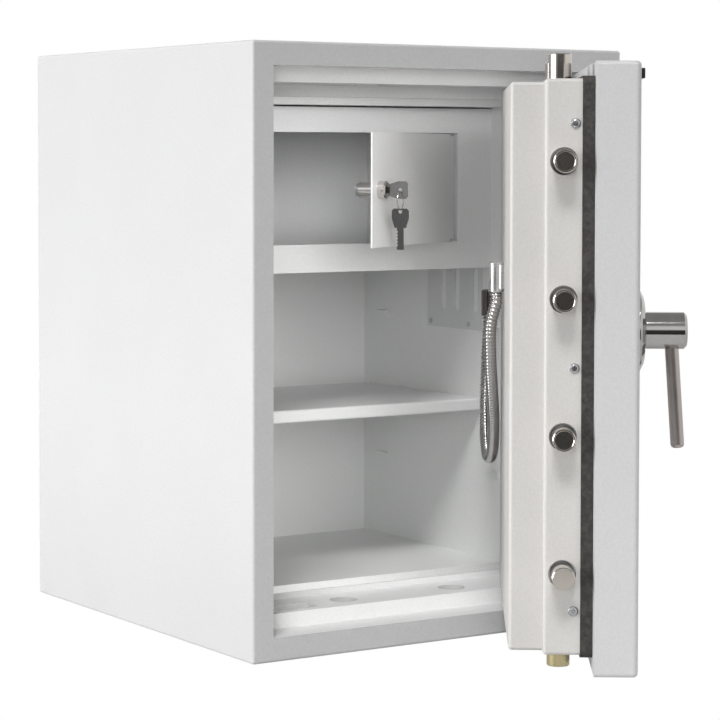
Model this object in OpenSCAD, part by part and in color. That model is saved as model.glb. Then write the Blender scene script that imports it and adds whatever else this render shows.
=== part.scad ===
// Fireproof safe with an open door, an inner locker, a shelf and a ribbed cable conduit.
// Units mm, +Z up, the front faces -Y, origin at the middle of the underside.
// Inside the modules X and Y count from the front left corner of the body.

/* [Body] */
// Width of the body
body_w = 538; // [400:1:700]
// Depth of the body
body_d = 566; // [400:1:700]
// Height of the body
body_h = 720; // [500:1:900]
// Rounding of the body's outer edges
body_r = 3.5; // [1:0.5:8]
// Sheet thickness of the outer casing
casing_t = 3; // [1:0.5:6]
// Width of the front lip all round the opening
lip_w = 28; // [15:1:40]

/* [Door frame] */
// Depth of the rebate that takes the door slab
rebate_d = 50; // [30:1:70]
// Width of the ledge behind the rebate
ledge_w = 18; // [10:1:30]
// Thickness of the ledge
ledge_t = 14; // [6:1:20]
// How far the throat opens out again behind the ledge
throat_out = 3; // [0:0.5:8]
// Depth of the throat's rear flange
throat_end = 142; // [110:1:160]
// Sheet thickness of the frame
frame_t = 3; // [2:0.5:6]
// Diameter of the anchor holes
anchor_d = 34; // [16:1:40]
// Distance between the anchor holes
anchor_pitch = 162; // [100:1:250]

/* [Interior] */
// Thickness of the side walls
wall_t = 73; // [50:1:90]
// Height of the interior floor
floor_z = 60; // [45:1:80]
// Thickness of the roof
roof_t = 69.5; // [50:0.5:90]
// Thickness of the back wall
back_t = 88; // [50:1:100]
// Sheet thickness of the liner
liner_t = 2; // [1:0.5:3]
// Top of the shelf
shelf_top = 269; // [150:1:400]
// Front edge of the shelf, from the body's front
shelf_y = 194; // [180:1:250]
// Height of the shelf's front fold
shelf_fold = 16; // [8:1:30]

/* [Locker] */
// Front of the locker, from the body's front
locker_y = 175; // [160:1:200]
// Height of the locker
locker_h = 206.5; // [150:0.5:240]
// Width of the panel left of the locker's opening
panel_left = 28.5; // [15:0.5:40]
// Width of the panel right of the locker's opening
panel_right = 54; // [45:1:80]
// Height of the panel below the locker's opening
panel_low = 35; // [20:1:45]
// Height of the panel above the locker's opening
panel_high = 31.5; // [15:0.5:40]
// Angle at which the locker's door stands open
locker_open = 36; // [0:1:60]
// Height of the cam lock above the opening's underside
cam_up = 70; // [45:1:100]

/* [Door] */
// Angle at which the door stands open
door_open = 55; // [0:1:90]
// Hinge axis, from the body's right side
hinge_in = 12; // [8:1:14]
// Hinge axis, in front of the body's front
hinge_out = 9; // [8.5:0.5:12]
// Gap round the door slab
slab_gap = 3.5; // [2.5:0.5:5]
// Thickness of the door slab
slab_t = 47; // [30:1:49]
// Rear face of the bolt case
case_n = 100.7; // [80:0.1:120]
// Rear face of the inner cover
cover_n = 137.5; // [110:0.5:140]

/* [Bolt work] */
// Diameter of the locking bolts
bolt_d = 25; // [16:1:32]
// Diameter of the holes that the bolts run in
bolt_hole = 30; // [20:1:40]
// Distance of the outer side bolts from the case's ends
bolt_inset = 88.5; // [70:0.5:110]
// How far the side bolts reach past the case
bolt_throw = 34; // [20:1:36]

/* [Handle] */
// Handle axis, from the slab's free edge
handle_in = 89; // [80:0.5:110]
// Handle axis, height
handle_z = 397; // [300:1:450]
// Diameter of the lever
lever_d = 15; // [10:1:20]

/* [Conduit] */
// Outer diameter of the ribbed conduit
conduit_d = 15; // [8:0.5:16]
// Wall height from bore to rib top
conduit_wall = 2.4; // [1:0.2:3]
// Distance between ribs
rib_pitch = 4.7; // [4:0.1:8]

/* [Hidden] */

round_fn = 40;
small_fn = 24;
edge_fn = 16;
over = 1;

seam = 0.3;
run_fit = 0.05;
bore_gap = 0.3;
big_gap = 0.5;

lip_x0 = lip_w;
lip_x1 = body_w - lip_w;
lip_z0 = lip_w;
lip_z1 = body_h - lip_w;
ledge_x0 = lip_x0 + ledge_w;
ledge_x1 = lip_x1 - ledge_w;
ledge_z0 = lip_z0 + ledge_w;
ledge_z1 = lip_z1 - ledge_w;
ledge_end = rebate_d + ledge_t;
throat_x0 = ledge_x0 - throat_out;
throat_x1 = ledge_x1 + throat_out;
throat_z0 = ledge_z0 - throat_out;
throat_z1 = ledge_z1;
room_x0 = wall_t;
room_x1 = body_w - wall_t;
room_end = body_d - back_t;
ceiling_z = body_h - roof_t;
flange_w = 9.5;
seam_x0 = room_x0 - flange_w;
seam_x1 = room_x1 + flange_w;
seam_z0 = floor_z - flange_w;
seam_z1 = ceiling_z + flange_w;

sleeve_t = 1.5;
anchor_y = 100;

slab_x0 = lip_x0 + slab_gap;
slab_x1 = lip_x1 - slab_gap;
slab_z0 = lip_z0 + slab_gap;
slab_z1 = lip_z1 - slab_gap;
slab_r = 5;
skin_t = 3;
case_x0 = slab_x0 + 30;
case_x1 = slab_x1 - 26.5;
case_z0 = slab_z0 + 18;
case_z1 = slab_z1 - 18;
case_t = 2;
case_r = 4;
seal_t = 3;
seal_end = slab_t + 13.5;
cover_x0 = case_x0 + 6.5;
cover_x1 = case_x1 - 6;
cover_z0 = case_z0 + 3.5;
cover_z1 = case_z1 - 3.5;
cover_t = 1.5;

side_bolt_n = 80;
bolt_dish = 0.8;
bolt_rim = 2.6;
bolt_tip_x = case_x0 - bolt_throw;
bolt_z0 = case_z0 + bolt_inset;
bolt_pitch = (case_z1 - case_z0 - 2 * bolt_inset) / 3;
bar_x0 = case_x0 + 30.5;
bar_t = 6;
side_bar_z0 = bolt_z0 - 22;
side_bar_z1 = bolt_z0 + 3 * bolt_pitch + 18;
side_bar_h = 20;
top_bolt_n = 83.5;
top_bolt_x = [case_x0 + 30, case_x0 + 118.5];
top_bolt_end = [lip_z1 + 6, lip_z1 - 0.5];
top_bar_z = case_z1 - 36.5;
low_bolt_n = 82.5;
low_bolt_end = lip_z0 + 5;
low_bar_z = case_z0 + 34.5;

// Pockets behind the ledge that the thrown bolts enter.
pocket_y0 = ledge_end;
pocket_y1 = side_bolt_n + 26;
side_pocket_x = lip_x0 - 4;
side_pocket_z0 = bolt_z0 - 38;
side_pocket_z1 = bolt_z0 + 3 * bolt_pitch + 38;
top_pocket_z = lip_z1 + 10;
top_pocket_x0 = top_bolt_x[0] - 21.5;
top_pocket_x1 = top_bolt_x[1] + 60;
low_pocket_z = lip_z0 + 2;
low_pocket_x1 = top_bolt_x[0] + 48.5;

hinge_x = body_w - hinge_in;
hinge_y = -hinge_out;
knuckle_r = 8;
pin_r = 4;
hinge_z = [40, body_h - 120];
knuckle_h = 40;

locker_top = ceiling_z - 2;
locker_z = locker_top - locker_h;
locker_x0 = room_x0 + panel_left;
locker_x1 = room_x1 - panel_right;
locker_z0 = locker_z + panel_low;
locker_z1 = locker_top - panel_high;
cam_z = locker_z0 + cam_up;
leaf_gap = 1.5;
leaf_axis_x = locker_x1 - 7.5;
leaf_axis_y = locker_y + 5;
leaf_x0 = locker_x0 + 2;
leaf_x1 = leaf_axis_x - 1;
notch_w = 15;
notch_h = 2.5;
leaf_z0 = locker_z0 + leaf_gap;
leaf_z1 = locker_z1 - leaf_gap;
locker_fold = 14;
leaf_t = 2;
tab_w = 22;
tab_r = 5;
locker_t = 2;
locker_end = room_end - 8;
pin_small_r = 2.5;
cam_x = leaf_x0 + 25;

handle_x = slab_x0 + handle_in;
spindle_r = 7;
hub_r = 20.25;
hub_n0 = -11;
hub_n1 = -57;
rosette_r = 46;
rosette_n = -10.5;

// Places its children, given from the front left corner, in the part's own frame.
module from_corner() translate([-body_w / 2, -body_d / 2, 0]) children();

// Turns the closed door's pieces about the hinge axis to the angle at which the door stands.
module on_door() from_corner() translate([hinge_x, hinge_y, 0]) rotate([0, 0, door_open])
    translate([-hinge_x, -hinge_y, 0]) children();

// Turns the closed locker door's pieces to the angle at which it stands.
module on_leaf() from_corner() translate([leaf_axis_x, leaf_axis_y, 0])
    rotate([0, 0, locker_open]) translate([-leaf_axis_x, -leaf_axis_y, 0]) children();

// A plain box from one corner to the other.
module block(a, b) translate(a) cube(b - a);

// A box with its four edges along Y rounded.
module tube_block(a, b, r) {
    translate([0, b[1], 0]) rotate([90, 0, 0]) linear_extrude(b[1] - a[1])
        translate([a[0] + r, a[2] + r]) offset(r, $fn = edge_fn)
            square([b[0] - a[0] - 2 * r, b[2] - a[2] - 2 * r]);
}

// A box with every edge rounded.
module soft_block(a, b, r) {
    hull() for (x = [a[0] + r, b[0] - r], y = [a[1] + r, b[1] - r], z = [a[2] + r, b[2] - r])
        translate([x, y, z]) sphere(r, $fn = edge_fn);
}

// A round bar along Y, its radius given at each end.
module along_y(x, z, y0, y1, r, fn = round_fn) translate([x, y1, z]) rotate([90, 0, 0])
    cylinder(h = y1 - y0, r = r, $fn = fn);

// A round bar along X.
module along_x(y, z, x0, x1, r, fn = round_fn) translate([x0, y, z]) rotate([0, 90, 0])
    cylinder(h = x1 - x0, r = r, $fn = fn);

// A round bar along Z.
module along_z(x, y, z0, z1, r, fn = round_fn) translate([x, y, z0])
    cylinder(h = z1 - z0, r = r, $fn = fn);

// The hollow of the door frame grown by t: rebate, ledge, throat and the bolt pockets.
module frame_space(t, back) {
    block([lip_x0 - t, 0, lip_z0 - t], [lip_x1 + t, rebate_d + t, lip_z1 + t]);
    block([ledge_x0 - t, 0, ledge_z0 - t], [ledge_x1 + t, ledge_end + t, ledge_z1 + t]);
    block([throat_x0 - t, pocket_y0 - t, throat_z0 - t],
        [throat_x1 + t, back, throat_z1 + t]);
    block([side_pocket_x - t, pocket_y0 - t, side_pocket_z0 - t],
        [ledge_x0, pocket_y1 + t, side_pocket_z1 + t]);
    block([top_pocket_x0 - t, pocket_y0 - t, ledge_z1],
        [top_pocket_x1 + t, pocket_y1 + t, top_pocket_z + t]);
    block([top_pocket_x0 - t, pocket_y0 - t, low_pocket_z - t],
        [low_pocket_x1 + t, pocket_y1 + t, ledge_z0]);
}

// The outline of the frame's metal, with the ledge filled solid.
module frame_outline() {
    difference() {
        union() {
            frame_space(frame_t, throat_end + frame_t);
            block([lip_x0 - frame_t, casing_t, lip_z0 - frame_t],
                [lip_x1 + frame_t, ledge_end, lip_z1 + frame_t]);
        }
        block([0, -over, 0], [body_w, casing_t, body_h]);
    }
}

// The outline of the liner and its front flange.
module liner_outline() {
    block([room_x0 - liner_t, throat_end, floor_z - liner_t],
        [room_x1 + liner_t, room_end + liner_t, ceiling_z + liner_t]);
    block([seam_x0, throat_end, seam_z0], [seam_x1, throat_end + frame_t, seam_z1]);
}

// The two anchor bores through the floor.
module anchor_bores(r, z0, z1) {
    for (s = [-1, 1]) along_z(body_w / 2 + s * anchor_pitch / 2, anchor_y, z0, z1, r);
}

module outer_casing() color("lightgray") from_corner() difference() {
    soft_block([0, 0, 0], [body_w, body_d, body_h], body_r);
    block([casing_t, casing_t, 0], [body_w - casing_t, body_d - casing_t, body_h - casing_t]);
    block([lip_x0, -over, lip_z0], [lip_x1, casing_t + over, lip_z1]);
    block([-over, -over, -over], [body_w + over, body_d + over, casing_t]);
}

// The sheet that closes the casing from below.
module base_plate() color("lightgray") from_corner() difference() {
    intersection() {
        soft_block([0, 0, 0], [body_w, body_d, body_h], body_r);
        block([0, 0, 0], [body_w, body_d, casing_t]);
    }
    anchor_bores(anchor_d / 2 + sleeve_t, -over, casing_t + over);
}

module fire_fill() color("darkgray") from_corner() difference() {
    block([casing_t, casing_t, casing_t],
        [body_w - casing_t, body_d - casing_t, body_h - casing_t]);
    frame_outline();
    block([lip_x0, 0, lip_z0], [lip_x1, rebate_d, lip_z1]);
    block([ledge_x0, 0, ledge_z0], [ledge_x1, throat_end, ledge_z1]);
    liner_outline();
    anchor_bores(anchor_d / 2 + sleeve_t, 0, throat_z0);
}

module door_frame() color("silver") from_corner() difference() {
    frame_outline();
    frame_space(0, throat_end);
    block([lip_x0, rebate_d, lip_z0], [lip_x1, ledge_end, lip_z1]);
    block([seam_x0, throat_end - over, seam_z0],
        [seam_x1, throat_end + frame_t + over, seam_z1]);
    anchor_bores(anchor_d / 2 + sleeve_t, throat_z0 - frame_t - over, throat_z0 + over);
}

// The ledge that the door's seal lies against and the bolts lock behind.
module frame_ledge() color("silver") from_corner() difference() {
    block([lip_x0, rebate_d, lip_z0], [lip_x1, ledge_end, lip_z1]);
    block([ledge_x0, rebate_d - over, ledge_z0], [ledge_x1, ledge_end + over, ledge_z1]);
}

module anchor_sleeves() color("gray") from_corner() difference() {
    anchor_bores(anchor_d / 2 + sleeve_t, 0, throat_z0);
    anchor_bores(anchor_d / 2, -over, throat_z0 + over);
}

module inner_liner() color("silver") from_corner() difference() {
    union() {
        block([room_x0 - liner_t, throat_end, floor_z - liner_t],
            [room_x1 + liner_t, room_end + liner_t, ceiling_z + liner_t]);
        block([seam_x0 + seam, throat_end, seam_z0 + seam],
            [seam_x1 - seam, throat_end + frame_t, seam_z1 - seam]);
    }
    block([room_x0, throat_end - over, floor_z], [room_x1, room_end, ceiling_z]);
}

plate_y0 = 202;
plate_y1 = 318;
plate_z0 = locker_z - 84;
plate_t = 2;
plate_slots = [202, 243.5, 275];
plate_slot_w = 10.5;
plate_slot_z0 = plate_z0 + 23;
plate_screws = [[222.5, plate_z0 + 7.2], [309.4, plate_z0 + 7.2]];
screw_r = 3.2;

module side_cover_plate() color("gray") from_corner() difference() {
    block([room_x1 - plate_t, plate_y0 - 8, plate_z0], [room_x1, plate_y1, locker_z - seam]);
    for (y = plate_slots) hull() for (z = [plate_slot_z0 + plate_slot_w / 2, locker_z - 8])
        along_x(y + plate_slot_w / 2, z, room_x1 - plate_t - over, room_x1 + over,
            plate_slot_w / 2, small_fn);
    along_x(265, locker_z - 9, room_x1 - plate_t - over, room_x1 + over, 2, small_fn);
}

module cover_plate_screws() color("silver") from_corner() for (p = plate_screws)
    difference() {
        along_x(p[0], p[1], room_x1 - plate_t - 2, room_x1 - plate_t, screw_r, small_fn);
        block([room_x1 - plate_t - 3, p[0] - 0.5, p[1] - 2],
            [room_x1 - plate_t - 1, p[0] + 0.5, p[1] + 2]);
    }

clip_y = [throat_end + 27, room_end - 48];
shelf_clip_y = [shelf_y + 18, room_end - 48];
shelf_t = 2;
clip_tops = [floor_z + 115, locker_z - 69];
clip_w = 24;
clip_h = 9;
clip_t = 1.6;
clip_out = 5;

// One pressed clip: a plate against the wall and a ledge that a shelf can lie on.
module one_clip(y, z) {
    block([0, y - clip_w / 2, z - clip_h], [clip_t, y + clip_w / 2, z]);
    block([0, y - clip_w / 2, z - clip_t], [clip_out, y + clip_w / 2, z]);
}

// A pair of clips, one on each side wall.
module clip_pair(y, z) {
    translate([room_x0, 0, 0]) one_clip(y, z);
    translate([room_x1, 0, 0]) mirror([1, 0, 0]) one_clip(y, z);
}

module shelf_clips() color("silver") from_corner() {
    for (y = clip_y, z = clip_tops) clip_pair(y, z);
    for (y = shelf_clip_y) clip_pair(y, shelf_top - shelf_t);
}

module upper_shelf() color("gray") from_corner() difference() {
    translate([room_x0 + seam, 0, 0]) rotate([90, 0, 90])
        linear_extrude(room_x1 - room_x0 - 2 * seam) difference() {
            translate([shelf_y + 3, shelf_top - shelf_fold]) offset(3, $fn = edge_fn)
                offset(-3) translate([-3, 0]) square([locker_end - shelf_y, shelf_fold]);
            translate([shelf_y + shelf_t, shelf_top - shelf_fold - over])
                square([locker_end - shelf_y - 2 * shelf_t, shelf_fold + over - shelf_t]);
        }
}

module locker_box() color("gray") from_corner() difference() {
    block([room_x0, locker_y + locker_t, locker_z], [room_x1, locker_end, locker_top]);
    block([room_x0 + locker_t, locker_y, locker_z + locker_t],
        [room_x1 - locker_t, locker_end - locker_t, locker_top - locker_t]);
}

module locker_front() color("lightgray") from_corner() difference() {
    union() {
        block([room_x0, locker_y, locker_z], [room_x1, locker_y + locker_t, locker_top]);
        block([locker_x0 - locker_t, locker_y, locker_z0 - locker_t],
            [locker_x1 + locker_t, locker_y + locker_fold, locker_z1 + locker_t]);
    }
    block([locker_x0, locker_y - over, locker_z0],
        [locker_x1, locker_y + locker_fold + over, locker_z1]);
    for (z = [locker_z0 - locker_t - over, locker_z1 - over])
        along_z(leaf_axis_x, leaf_axis_y, z, z + locker_t + 2 * over,
            pin_small_r + run_fit, small_fn);
}

module locker_pins() color("silver") from_corner() {
    along_z(leaf_axis_x, leaf_axis_y, locker_z0 - 6, leaf_z0 + 6, pin_small_r, small_fn);
    along_z(leaf_axis_x, leaf_axis_y, leaf_z1 - 6, locker_z1 + 6, pin_small_r, small_fn);
}

module locker_leaf() color("lightgray") on_leaf() difference() {
    union() {
        block([leaf_x0, locker_y, leaf_z0], [leaf_x1 - notch_w, locker_y + leaf_t, leaf_z1]);
        block([leaf_x0, locker_y, leaf_z0 + notch_h],
            [leaf_x1, locker_y + leaf_t, leaf_z1 - notch_h]);
        for (z = [leaf_z0 + notch_h, leaf_z1 - notch_h - leaf_t]) translate([0, 0, z])
            linear_extrude(leaf_t) hull() {
                translate([leaf_x1 - tab_w, locker_y]) square([tab_w, leaf_t]);
                translate([leaf_axis_x, leaf_axis_y]) circle(tab_r, $fn = 32);
            }
    }
    along_z(leaf_axis_x, leaf_axis_y, leaf_z0 - over, leaf_z1 + over,
        pin_small_r + run_fit, small_fn);
    along_y(cam_x, cam_z, locker_y - over, locker_y + leaf_t + over, cam_body_r);
}

cam_body_r = 9.5;
cam_head_r = 11;
cam_head = 10;
cam_end = 202;
cam_plug_r = 5.5;
key_t = 2;
bow_half = 11.5;
bow_w = 21;
blade_w = 8;
key_n = 23.5;
key_hole = -2.5;
spare_hole = -8;
key_hole_r = 2.6;
ring_r = 11;
ring_wire = 0.8;

module cam_lock_body() color("silver") on_leaf() difference() {
    union() {
        along_y(cam_x, cam_z, locker_y, cam_end - 2, cam_body_r);
        rotate_collar();
        along_y(cam_x, cam_z, locker_y + leaf_t, locker_y + leaf_t + 4, 13, 6);
    }
    along_y(cam_x, cam_z, locker_y - cam_head - over, cam_end + over, cam_plug_r + run_fit);
}

// The turned collar of the cam lock, with a chamfer at its front.
module rotate_collar() translate([cam_x, locker_y, cam_z]) rotate([90, 0, 0])
    rotate_extrude($fn = round_fn) polygon([[0, 0], [cam_head_r, 0],
        [cam_head_r, cam_head - 2], [cam_head_r - 2, cam_head], [0, cam_head]]);

module cam_plug() color("silver") on_leaf() difference() {
    along_y(cam_x, cam_z, locker_y - cam_head, cam_end, cam_plug_r);
    block([cam_x - key_t / 2, locker_y - cam_head - over, cam_z - 4],
        [cam_x + key_t / 2, cam_end - 8, cam_z + 4]);
}

module cam_arm() color("silver") on_leaf() hull() {
    along_y(cam_x, cam_z, cam_end, cam_end + 2.5, 8);
    along_y(cam_x + 34, cam_z, cam_end, cam_end + 2.5, 6);
}

// The outline of a key: a bow that narrows to the blade, its ring hole and the bitting.
module key_shape(blade, hole) difference() {
    union() {
        polygon([[-bow_half, -8], [-bow_half + 2.5, -bow_w / 2], [0, -bow_w / 2],
            [bow_half, -7], [bow_half, 7], [0, bow_w / 2], [-bow_half + 2.5, bow_w / 2],
            [-bow_half, 8]]);
        translate([0, -blade_w / 2]) square([bow_half + blade, blade_w]);
    }
    translate([hole, 0]) circle(key_hole_r, $fn = small_fn);
    for (i = [0:4]) translate([bow_half + 4.5 + i * 4, blade_w / 2 + 0.4])
        circle(1.6, $fn = 14);
}

// The key stands in the plug, its bow in front of the collar.
bow_y = locker_y - key_n;
module locker_key() color("silver") on_leaf() translate([cam_x, bow_y, cam_z])
    rotate([90, 0, 90]) translate([0, 0, -key_t / 2]) linear_extrude(key_t)
        key_shape(20, key_hole);

ring_y = bow_y + key_hole;
hang = key_hole_r - ring_wire - 0.1;
ring_z = cam_z - hang - ring_r;
module key_ring() color("silver") on_leaf() translate([cam_x, ring_y, ring_z])
    rotate([90, 0, 0]) rotate_extrude($fn = round_fn) translate([ring_r, 0])
        circle(ring_wire, $fn = 12);

// The spare key hangs from the ring by its bow.
spare_z = ring_z - ring_r - hang + spare_hole;
module spare_key() color("silver") on_leaf() translate([cam_x, ring_y, spare_z])
    rotate([0, 90, 0]) translate([0, 0, -key_t / 2]) linear_extrude(key_t)
        key_shape(26, spare_hole);

module body_knuckles() color("lightgray") from_corner() for (z = hinge_z) difference() {
    union() {
        along_z(hinge_x, hinge_y, z, z + knuckle_h, knuckle_r);
        block([hinge_x - 6, hinge_y, z], [hinge_x + 8, 0, z + knuckle_h]);
    }
    along_z(hinge_x, hinge_y, z - over, z + knuckle_h + over, pin_r);
}

module hinge_pins() color("silver") from_corner() for (z = hinge_z)
    along_z(hinge_x, hinge_y, z, z + 2 * knuckle_h - 4, pin_r);

module door_knuckles() color("lightgray") on_door() for (z = hinge_z) difference() {
    z0 = z + knuckle_h + seam;
    z1 = z + 2 * knuckle_h;
    union() {
        along_z(hinge_x, hinge_y, z0, z1, knuckle_r);
        block([hinge_x - 56, -6, z0], [slab_x1, 0, z1]);
        block([slab_x1 - over, -6, z0], [hinge_x, -big_gap, z1]);
    }
    along_z(hinge_x, hinge_y, z0 - over, z1 - 3, pin_r + run_fit);
}

module door_skin() color("lightgray") on_door() difference() {
    soft_block([slab_x0, 0, slab_z0], [slab_x1, slab_t + slab_r, slab_z1], slab_r);
    block([0, slab_t, 0], [body_w, slab_t + 2 * slab_r, body_h]);
    block([slab_x0 + skin_t, skin_t, slab_z0 + skin_t],
        [slab_x1 - skin_t, slab_t + over, slab_z1 - skin_t]);
    door_bores(-over, skin_t + over);
}

// The bores through the slab for the handle's spindle and the key.
key_x = handle_x + 69.5;
key_z = handle_z + 33;
key_bore_r = 5;
module door_bores(n0, n1) {
    along_y(handle_x, handle_z, n0, n1, spindle_r + run_fit);
    along_y(key_x, key_z, n0, n1, key_bore_r);
}

module door_fill() color("darkgray") on_door() difference() {
    block([slab_x0 + skin_t, skin_t, slab_z0 + skin_t],
        [slab_x1 - skin_t, slab_t - skin_t, slab_z1 - skin_t]);
    door_bores(0, slab_t);
}

module door_back_plate() color("lightgray") on_door() difference() {
    block([slab_x0 + skin_t, slab_t - skin_t, slab_z0 + skin_t],
        [slab_x1 - skin_t, slab_t, slab_z1 - skin_t]);
    door_bores(slab_t - skin_t - over, slab_t + over);
}

module door_seal() color("black") on_door() difference() {
    tube_block([case_x0 - seal_t, slab_t, case_z0 - seal_t + 0.1],
        [case_x1 + seal_t, seal_end, case_z1 + seal_t - 0.1], case_r + seal_t);
    tube_block([case_x0, slab_t - over, case_z0], [case_x1, seal_end + over, case_z1],
        case_r);
}

module bolt_case() color("gray") on_door() difference() {
    soft_block([case_x0, slab_t - 2 * case_r, case_z0], [case_x1, case_n, case_z1], case_r);
    block([0, 0, 0], [body_w, slab_t, body_h]);
    block([case_x0 + case_t, slab_t - over, case_z0 + case_t],
        [case_x1 - case_t, case_n - case_t, case_z1 - case_t]);
    block([case_x0 + 20, slab_t, case_z0 + 20], [case_x1 - 20, case_n + over, case_z1 - 20]);
    for (i = [0:3]) along_x(side_bolt_n, bolt_z0 + i * bolt_pitch, case_x0 - over,
        case_x0 + case_t + over, bolt_hole / 2);
    for (x = top_bolt_x) along_z(x, top_bolt_n, case_z1 - case_t - over, case_z1 + over,
        bolt_hole / 2);
    along_z(top_bolt_x[0], low_bolt_n, case_z0 - over, case_z0 + case_t + over,
        bolt_hole / 2);
}

// Webs inside the case that the bolts slide in, from the slab to the case's rear flange.
guide_gap = 6;
guide_t = 4;
guide_n1 = case_n - case_t;
module bolt_guides() color("gray") on_door() difference() {
    union() {
        block([case_x0 + guide_gap, slab_t, bolt_z0 - 24],
            [case_x0 + guide_gap + guide_t, guide_n1, bolt_z0 + 3 * bolt_pitch + 24]);
        block([top_bolt_x[0] - 18, slab_t, case_z1 - guide_gap - guide_t],
            [top_bolt_x[1] + 24, guide_n1, case_z1 - guide_gap]);
        block([top_bolt_x[0] - 18, slab_t, case_z0 + guide_gap],
            [top_bolt_x[0] + 60, guide_n1, case_z0 + guide_gap + guide_t]);
    }
    for (i = [0:3]) along_x(side_bolt_n, bolt_z0 + i * bolt_pitch, case_x0,
        case_x0 + 3 * guide_gap, bolt_d / 2 + bore_gap);
    for (x = top_bolt_x) along_z(x, top_bolt_n, case_z1 - 3 * guide_gap, case_z1,
        bolt_d / 2 + bore_gap);
    along_z(top_bolt_x[0], low_bolt_n, case_z0, case_z0 + 3 * guide_gap,
        bolt_d / 2 + bore_gap);
}

// A pan head screw whose axis points along -X, with a cross recess.
module pan_head(x, n, z) difference() {
    translate([x, n, z]) rotate([0, -90, 0]) rotate_extrude($fn = small_fn)
        polygon([[0, 0], [5.5, 0], [5.5, 1], [4.6, 2.2], [3, 2.8], [0, 3]]);
    block([x - 4, n - 0.6, z - 2.6], [x - 1.4, n + 0.6, z + 2.6]);
    block([x - 4, n - 2.6, z - 0.6], [x - 1.4, n + 2.6, z + 0.6]);
}

screw_in = 48;
module case_screws() color("silver") on_door()
    for (z = [case_z0 + screw_in, (case_z0 + case_z1) / 2, case_z1 - screw_in])
        pan_head(case_x0, seal_end + 7.5, z);

module inner_cover() color("gray") on_door() difference() {
    soft_block([cover_x0, case_n - 2 * case_r, cover_z0], [cover_x1, cover_n, cover_z1],
        case_r);
    block([0, 0, 0], [body_w, case_n, body_h]);
    block([cover_x0 + cover_t, case_n - over, cover_z0 + cover_t],
        [cover_x1 - cover_t, cover_n - cover_t, cover_z1 - cover_t]);
}

ferrule_x = case_x1 - 145;
ferrule_r = 9;
ferrule_n = cover_n + ferrule_r;
ferrule_z = [427, 463];
hose_grip = 4;

// A chrome sleeve that stands upright on the cover and takes the conduit from below.
module door_ferrule() color("silver") on_door() difference() {
    union() {
        translate([ferrule_x, ferrule_n, ferrule_z[0]]) rotate_extrude($fn = round_fn)
            polygon([[0, 0], [ferrule_r - 1, 0], [ferrule_r, 1],
                [ferrule_r, ferrule_z[1] - ferrule_z[0] - 2],
                [ferrule_r - 2, ferrule_z[1] - ferrule_z[0]],
                [0, ferrule_z[1] - ferrule_z[0]]]);
        block([ferrule_x - 11, cover_n, ferrule_z[0] + 4],
            [ferrule_x + 11, cover_n + 2, ferrule_z[1] - 4]);
    }
    along_z(ferrule_x, ferrule_n, ferrule_z[0] - over, ferrule_z[0] + hose_grip + 2,
        conduit_d / 2 + bore_gap, 32);
}

front_plate_h = 11;
front_plate_z = slab_z1 - 18.5;
module front_plate() color("black") on_door()
    soft_block([slab_x0 + 12, -4.5, front_plate_z],
        [slab_x0 + 72, 0, front_plate_z + front_plate_h], 0.9);

module lock_escutcheon() color("silver") on_door() difference() {
    translate([key_x, 0, key_z]) rotate([90, 0, 0]) rotate_extrude($fn = round_fn)
        polygon([[0, 0], [17, 0], [17, 1.5], [15.5, 2.5], [0, 2.5]]);
    along_y(key_x, key_z, -4, over, key_bore_r);
    along_y(key_x, key_z + cover_pivot, -4, over, cover_pin_r + run_fit, small_fn);
}

// The flap over the keyhole swings on a small pin.
cover_pivot = 13;
cover_pin_r = 1.2;
module escutcheon_cover() color("silver") on_door() {
    hull() for (z = [key_z, key_z + cover_pivot])
        along_y(key_x, z, -4.3, -2.8, z == key_z ? 7.5 : 3, 32);
    along_y(key_x, key_z + cover_pivot, -5, -0.6, cover_pin_r, small_fn);
}

case_box = [[key_x - 14, key_z - 45], [key_x + 62, key_z + 45]];
module lock_case() color("gray") on_door() difference() {
    block([case_box[0][0], slab_t, case_box[0][1]], [case_box[1][0], 70, case_box[1][1]]);
    block([case_box[0][0] - over, 54.5 - run_fit, key_z - 12 - run_fit],
        [case_box[1][0] - 20, 62.5 + run_fit, key_z + 12 + run_fit]);
    along_y(key_x, key_z, slab_t - over, 54.5, key_bore_r);
}

module lock_bolt() color("silver") on_door()
    block([case_box[0][0] - 3, 54.5, key_z - 12], [case_box[0][0] + 40, 62.5, key_z + 12]);

module handle_rosette() color("silver") on_door() difference() {
    translate([handle_x, 0, handle_z]) rotate([90, 0, 0]) rotate_extrude($fn = 64)
        polygon([[0, 0], [rosette_r, 0], [rosette_r, 4], [rosette_r - 1.5, 6],
            [rosette_r - 8, 9.5], [rosette_r - 12, 10.5], [0, 10.5]]);
    along_y(handle_x, handle_z, rosette_n - over, over, spindle_r + run_fit);
}

module handle_hub() color("silver") on_door() difference() {
    translate([handle_x, hub_n0, handle_z]) rotate([90, 0, 0]) rotate_extrude($fn = 64)
        polygon([[0, 0], [hub_r - 1, 0], [hub_r, 1], [hub_r, hub_n0 - hub_n1 - 3],
            [hub_r - 3, hub_n0 - hub_n1], [0, hub_n0 - hub_n1]]);
    along_y(handle_x, handle_z, hub_n1 + 10, 0, spindle_r);
    translate([handle_x, -40, handle_z]) rotate([-3.7, 0, 0])
        translate([0, 0, -40]) cylinder(h = 40 - hub_r + 8, r = lever_d / 2, $fn = 32);
}

lever_low = 129;
module handle_lever() color("silver") on_door() translate([handle_x, -40, handle_z])
    rotate([-3.7, 0, 0]) rotate([180, 0, 0]) translate([0, 0, hub_r - 8])
        rotate_extrude($fn = 32) polygon([[0, 0], [lever_d / 2, 0],
            [lever_d / 2, lever_low - 16], [lever_d / 2 - 1, lever_low - 13.5],
            [lever_d / 2 - 3, lever_low - 12.4], [0, lever_low - 12]]);

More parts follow.
